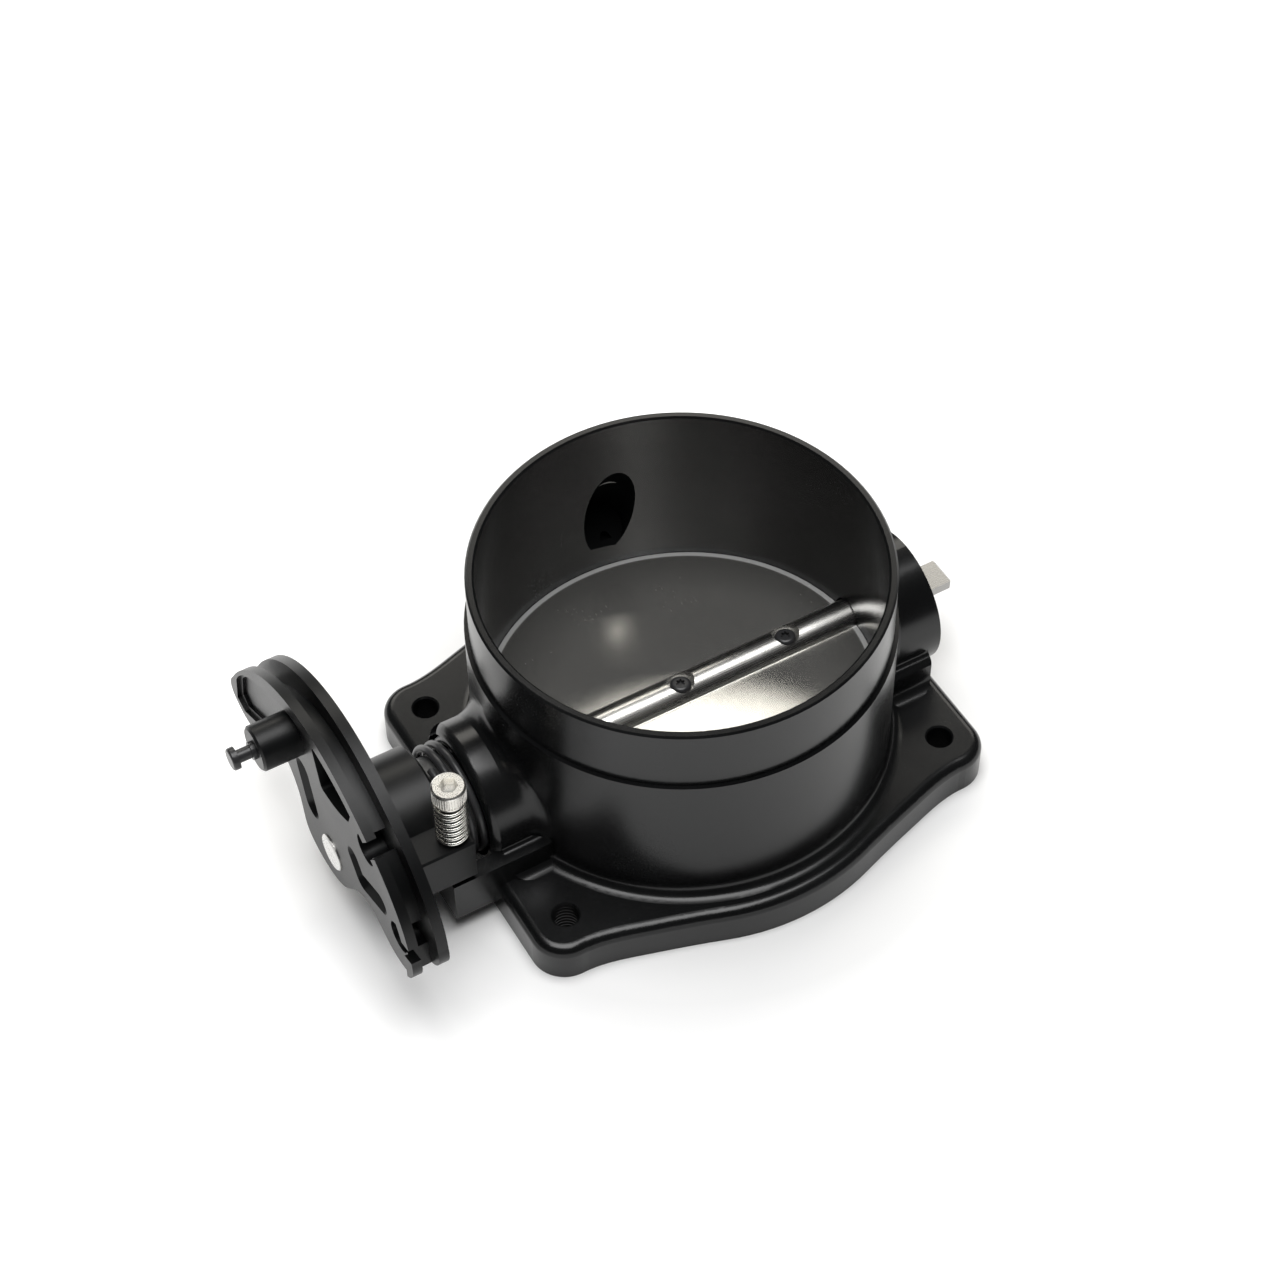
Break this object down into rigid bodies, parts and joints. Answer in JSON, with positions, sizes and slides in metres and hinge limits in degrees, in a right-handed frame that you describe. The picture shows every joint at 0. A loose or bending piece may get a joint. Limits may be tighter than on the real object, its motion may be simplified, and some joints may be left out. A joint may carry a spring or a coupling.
{
  "type": "throttle body",
  "caption": "Single-bore round throttle body with a butterfly plate on a cross shaft, cable wheel, idle stop screw and a slanted idle-air port on a four-hole square flange.",
  "frame": {"origin": "centre of the air bore on the flange's mounting face", "axes": "+Z along the bore away from the mounting face; +X along the throttle shaft, towards the sensor end (the cable wheel is at -X); +Y towards the idle-air boss"},
  "size_m": [0.198, 0.13, 0.0725],
  "materials": {
    "anodised_housing": "black anodised, machined, semi-gloss",
    "anodised_lever": "black anodised, satin",
    "polished_plate": "brushed and polished",
    "ground_steel": "ground",
    "bearing_steel": "polished",
    "spring_steel": "drawn wire, bright",
    "zinc_screw": "bright plated",
    "dark_pin": "black oxide",
    "black_screw": "black oxide",
    "cage_brass": "machined",
    "seal_rubber": "moulded",
    "nylon_bushing": "moulded nylon"
  },
  "bodies": {
    "throttle_housing": {"housing": "anodised_housing", "left_bearing_outer_ring": "bearing_steel", "right_bearing_outer_ring": "bearing_steel", "left_shaft_seal": "seal_rubber", "right_shaft_seal": "seal_rubber", "left_bearing_circlip": "spring_steel", "right_bearing_circlip": "spring_steel", "return_spring": "spring_steel"},
    "throttle_rotor": {"throttle_shaft": "ground_steel", "throttle_plate": "polished_plate", "plate_screws": "black_screw", "left_bearing_inner_ring": "bearing_steel", "right_bearing_inner_ring": "bearing_steel", "spring_bushing": "nylon_bushing", "stop_lever": "anodised_lever", "lever_grub_screw": "black_screw", "lever_dowels": "bearing_steel", "cable_wheel": "anodised_lever", "linkage_stud": "anodised_lever", "linkage_pin": "dark_pin", "idle_spring": "spring_steel"},
    "left_ball_set": {"left_bearing_balls": "bearing_steel", "left_bearing_cage": "cage_brass"},
    "right_ball_set": {"right_bearing_balls": "bearing_steel", "right_bearing_cage": "cage_brass"},
    "idle_adjuster": {"idle_screw": "zinc_screw"}
  },
  "joints": [
    {"name": "throttle_opening", "type": "hinge", "parent": "throttle_housing", "child": "throttle_rotor", "pos_m": [0, 0, 0.0231], "axis": [-1, 0, 0], "range_deg": [0, 82], "stiffness_Nm_per_rad": 0.35, "springref_deg": -51.57},
    {"name": "left_cage_turn", "type": "hinge", "parent": "throttle_housing", "child": "left_ball_set", "pos_m": [-0.055, 0, 0.0231], "axis": [-1, 0, 0], "range_deg": [0, 36]},
    {"name": "right_cage_turn", "type": "hinge", "parent": "throttle_housing", "child": "right_ball_set", "pos_m": [0.055, 0, 0.0231], "axis": [-1, 0, 0], "range_deg": [0, 36]},
    {"name": "idle_screw_setting", "type": "slide", "parent": "throttle_rotor", "child": "idle_adjuster", "axis": [0, 0, 1], "range_m": [0, 0.003], "deforming": ["idle_spring"]}
  ],
  "couplings": [
    {"joint": "left_cage_turn", "follows": "throttle_opening", "ratio": 0.4207},
    {"joint": "right_cage_turn", "follows": "throttle_opening", "ratio": 0.4207}
  ]
}
